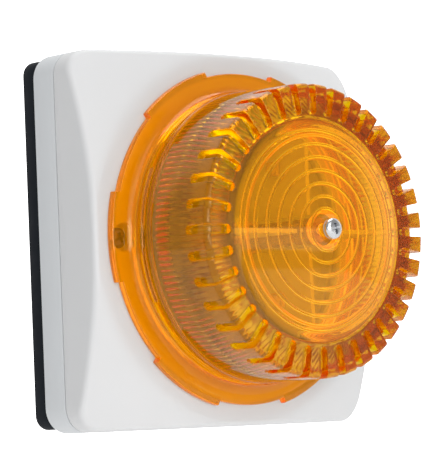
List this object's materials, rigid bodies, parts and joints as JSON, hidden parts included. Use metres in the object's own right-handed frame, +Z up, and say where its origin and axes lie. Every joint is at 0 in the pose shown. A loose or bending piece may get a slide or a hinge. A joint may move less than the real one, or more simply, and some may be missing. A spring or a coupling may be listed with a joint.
{
  "type": "alarm beacon",
  "caption": "Square wall-mounted alarm beacon: a round slotted amber lens over an LED light engine, on a two-part white housing with a dark wall plate.",
  "frame": {"origin": "centre of the wall plate's flat back face, on the lens axis", "axes": "+Z up, the front of the unit faces -Y, +Y points into the wall, +X to the right seen from the front"},
  "size_m": [0.14, 0.0932, 0.14],
  "materials": {
    "slate_plate": "fine moulded texture",
    "housing_grey": "satin",
    "housing_white": "satin",
    "amber_lens": "clear gloss",
    "seal_rubber": "matt",
    "seal_silicone": "matt",
    "steel_screw": "bright plated",
    "brass_post": "turned",
    "board_green": "solder mask",
    "board_white": "white solder mask",
    "black_plastic": "moulded",
    "reflector_white": "semi gloss",
    "led_yellow": "clear silicone over phosphor",
    "terminal_green": "moulded",
    "core_grey": "ferrite and tape",
    "capacitor_sleeve": "shrink sleeve",
    "relay_blue": "moulded",
    "copper_winding": "enamelled wire",
    "button_grey": "moulded"
  },
  "bodies": {
    "base": {"wall_plate": "slate_plate", "rear_housing": "housing_grey", "housing_seal": "seal_rubber", "unit_screw_lower_left": "steel_screw", "board_screw_lower_left": "steel_screw", "unit_screw_upper_left": "steel_screw", "board_screw_upper_left": "steel_screw", "unit_screw_lower_right": "steel_screw", "board_screw_lower_right": "steel_screw", "unit_screw_upper_right": "steel_screw", "board_screw_upper_right": "steel_screw", "main_board": "board_green", "network_jack": "black_plastic", "terminal_block": "terminal_green", "terminal_screw_left": "steel_screw", "terminal_screw_right": "steel_screw", "reset_switch": "black_plastic", "processor": "black_plastic", "transformer": "core_grey", "relay": "relay_blue", "capacitor_large": "capacitor_sleeve", "capacitor_small": "capacitor_sleeve", "inductor": "copper_winding", "light_base": "reflector_white", "lens_post": "brass_post", "post_screw": "steel_screw", "led_board_right": "board_white", "led_connector_right": "reflector_white", "led_right_a": "led_yellow", "led_right_b": "led_yellow", "led_board_top": "board_white", "led_connector_top": "reflector_white", "led_top_a": "led_yellow", "led_top_b": "led_yellow", "led_board_left": "board_white", "led_connector_left": "reflector_white", "led_left_a": "led_yellow", "led_left_b": "led_yellow", "led_board_bottom": "board_white", "led_connector_bottom": "reflector_white", "led_bottom_a": "led_yellow", "led_bottom_b": "led_yellow"},
    "cover": {"front_housing": "housing_white", "lens_seal": "seal_silicone"},
    "cover_screw_left": {"cover_screw_left": "steel_screw"},
    "cover_screw_right": {"cover_screw_right": "steel_screw"},
    "reset_button": {"reset_button": "button_grey"},
    "lens": {"lens": "amber_lens", "lens_screw_washer": "seal_silicone"},
    "lens_screw": {"lens_screw": "steel_screw"}
  },
  "joints": [
    {"name": "cover_lift", "type": "slide", "parent": "base", "child": "cover", "axis": [0, -1, 0], "range_m": [0, 0.08]},
    {"name": "lens_lift", "type": "slide", "parent": "cover", "child": "lens", "axis": [0, -1, 0], "range_m": [0, 0.06]},
    {"name": "lens_screw_turn", "type": "hinge", "parent": "lens", "child": "lens_screw", "pos_m": [0, -0.0911, 0], "axis": [0, -1, 0], "continuous": true},
    {"name": "cover_screw_left_turn", "type": "hinge", "parent": "cover", "child": "cover_screw_left", "pos_m": [-0.0572, -0.0367, 0], "axis": [0, -1, 0], "continuous": true},
    {"name": "cover_screw_right_turn", "type": "hinge", "parent": "cover", "child": "cover_screw_right", "pos_m": [0.0572, -0.0367, 0], "axis": [0, -1, 0], "continuous": true},
    {"name": "reset_press", "type": "slide", "parent": "base", "child": "reset_button", "axis": [0, -1, 0], "range_m": [0, 0.0005], "stiffness_N_per_m": 3000, "springref_m": -0.0003}
  ]
}
